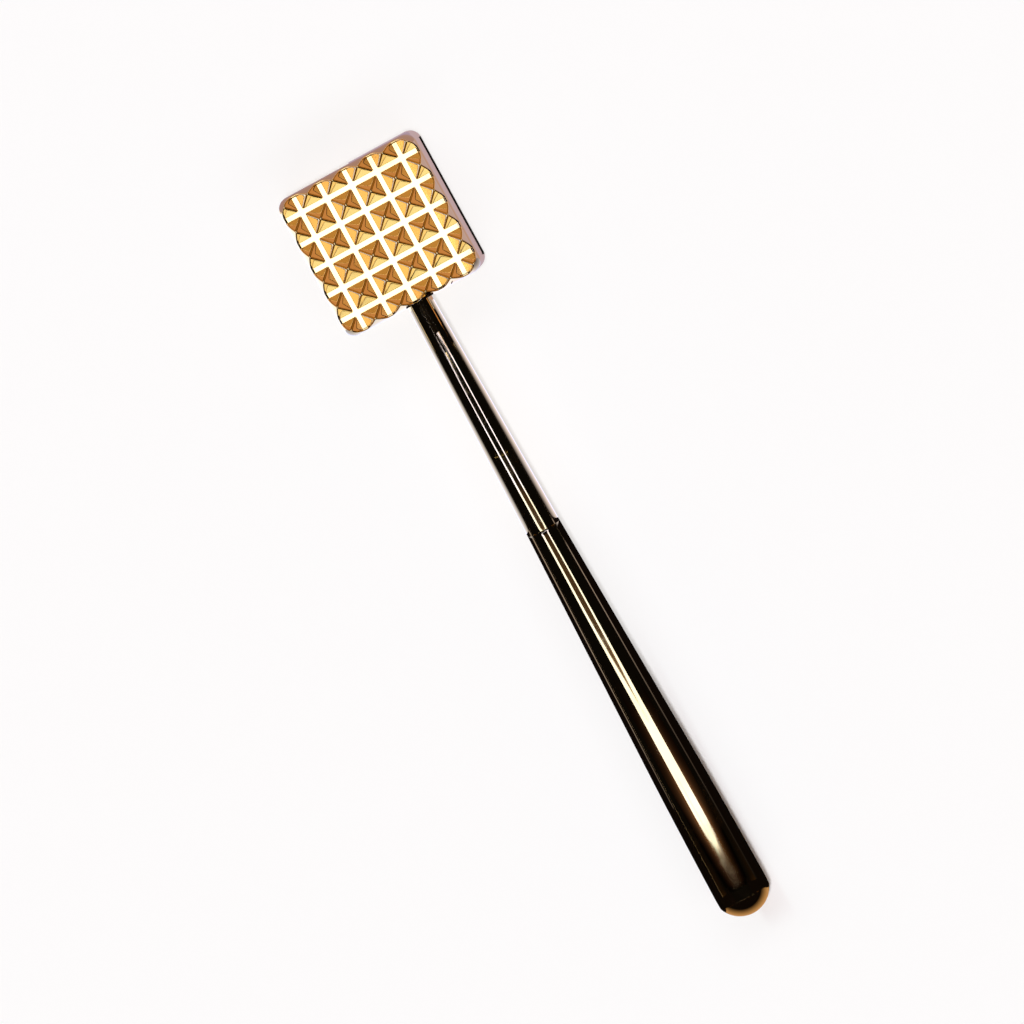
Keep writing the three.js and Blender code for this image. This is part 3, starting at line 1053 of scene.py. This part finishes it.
def add_butt_lights():
    """A warm card on the floor round the butt, with black beyond it and beside it."""
    # Only the metal sees these cards. The warm card is painted reflected shade: the dome shows it,
    # dim and warm, in place of the lit floor, which gives the dome its warm crescent.
    end = BUTT_CARDS_END
    # A black card on the lit floor beyond the butt, seen only in the metal: a painted dark
    # reflection.
    floor_card("butt_black", (-CARD_FAR, CARD_FAR), (end, -0.250), CARD_BLACK)
    card = outlined_sheet("butt_card", BUTT_CARD_ROWS, 0.4 * MM)
    add_metal_only(card, PAINTED_BUTT_REFLECTION, fading_round_butt)
    standing_card("butt_flag", (-0.5, 0.5), (end, end), (0, 0.42), CARD_BLACK)
    beside_butt = (end, -0.262)
    standing_card("butt_left_flag", (-0.25, -0.25), beside_butt, (0, 0.3), CARD_BLACK)
    standing_card("butt_right_flag", (0.25, 0.25), beside_butt, (0, 0.3), CARD_BLACK)


SUN_STRENGTH = 1.9
SUN_ANGLE = math.radians(5)
SUN_TILT = math.radians(0.5)
SUN_PLACE = (0, -0.1, 2)


def add_sun():
    """Light from nearly overhead, for the narrow shadow on the floor. Metal doesn't show it."""
    data = bpy.data.lights.new("sun", "SUN")
    data.energy = SUN_STRENGTH
    data.angle = SUN_ANGLE
    lamp = bpy.data.objects.new("sun", data)
    lamp.location = SUN_PLACE
    lamp.rotation_euler = (0, SUN_TILT, 0)
    lamp.visible_glossy = False
    bpy.context.scene.collection.objects.link(lamp)


def add_lights():
    add_head_lights()
    add_handle_lights()
    add_butt_lights()
    add_sun()


WORLD_DARK = 0.004
WORLD_SOFTBOX = 2.0
WORLD_HORIZON = 0.9
WORLD_WARM = (0.42, 0.20, 0.03)
LEAST_RISE = 0.001

# Edges of the world's lights: each pair is where the change starts and ends
SOFTBOX_SIDE = (0.8, 1.0)
SOFTBOX_NEAR = (0.4, 0.55)
SOFTBOX_FAR = (1.0, 1.2)
HORIZON_TOP = (0.068, 0.075)
WARM_TOP = (0.45, 0.6)
WARM_DIAGONAL = (0.05, 0.25)


def add_world():
    """A dark room with a pale horizon and a softbox beyond the head and beyond the butt.

    Low down at the diagonals it is warm. Directions are given as across, along and up, and
    u and v are where they meet a level plane one metre up.
    """
    world = bpy.data.worlds.new("studio")
    bpy.context.scene.world = world
    world.use_nodes = True
    nodes = Nodes(world.node_tree)
    place = nodes.add("ShaderNodeTexCoord")
    split = nodes.add("ShaderNodeSeparateXYZ")
    nodes.link(place.outputs["Generated"], split.inputs[0])
    across, along, up = split.outputs
    level = nodes.math("MAXIMUM", up, LEAST_RISE)
    u = nodes.math("ABSOLUTE", nodes.math("DIVIDE", across, level))
    v = nodes.math("ABSOLUTE", nodes.math("DIVIDE", along, level))
    wide = nodes.remap(u, *SOFTBOX_SIDE, 1, 0, True)
    near = nodes.remap(v, *SOFTBOX_NEAR, 0, 1, True)
    far = nodes.remap(v, *SOFTBOX_FAR, 1, 0, True)
    strength = nodes.math("MULTIPLY", wide, nodes.math("MULTIPLY", near, far))
    strength = nodes.math("MULTIPLY", strength, WORLD_SOFTBOX)
    horizon = nodes.remap(up, *HORIZON_TOP, WORLD_HORIZON, 0)
    strength = nodes.math("ADD", strength, horizon)
    strength = nodes.math("ADD", strength, WORLD_DARK)
    corners = nodes.math("ABSOLUTE", nodes.math("MULTIPLY", across, along))

    studio = nodes.add("ShaderNodeBackground")
    nodes.link(strength, studio.inputs["Strength"])
    warmth = nodes.add("ShaderNodeBackground")
    warmth.inputs["Color"].default_value = (*WORLD_WARM, 1)
    low_down = nodes.remap(up, *WARM_TOP, 1, 0, True)
    diagonal = nodes.remap(corners, *WARM_DIAGONAL, 0, 1, True)
    nodes.link(nodes.math("MULTIPLY", diagonal, low_down), warmth.inputs["Strength"])
    both = nodes.add("ShaderNodeAddShader")
    nodes.link(studio.outputs[0], both.inputs[0])
    nodes.link(warmth.outputs[0], both.inputs[1])
    output = nodes.add("ShaderNodeOutputWorld")
    nodes.link(both.outputs[0], output.inputs["Surface"])


dress_object()
add_camera()
add_floor()
add_lights()
add_world()
bpy.context.scene.view_settings.view_transform = "Standard"
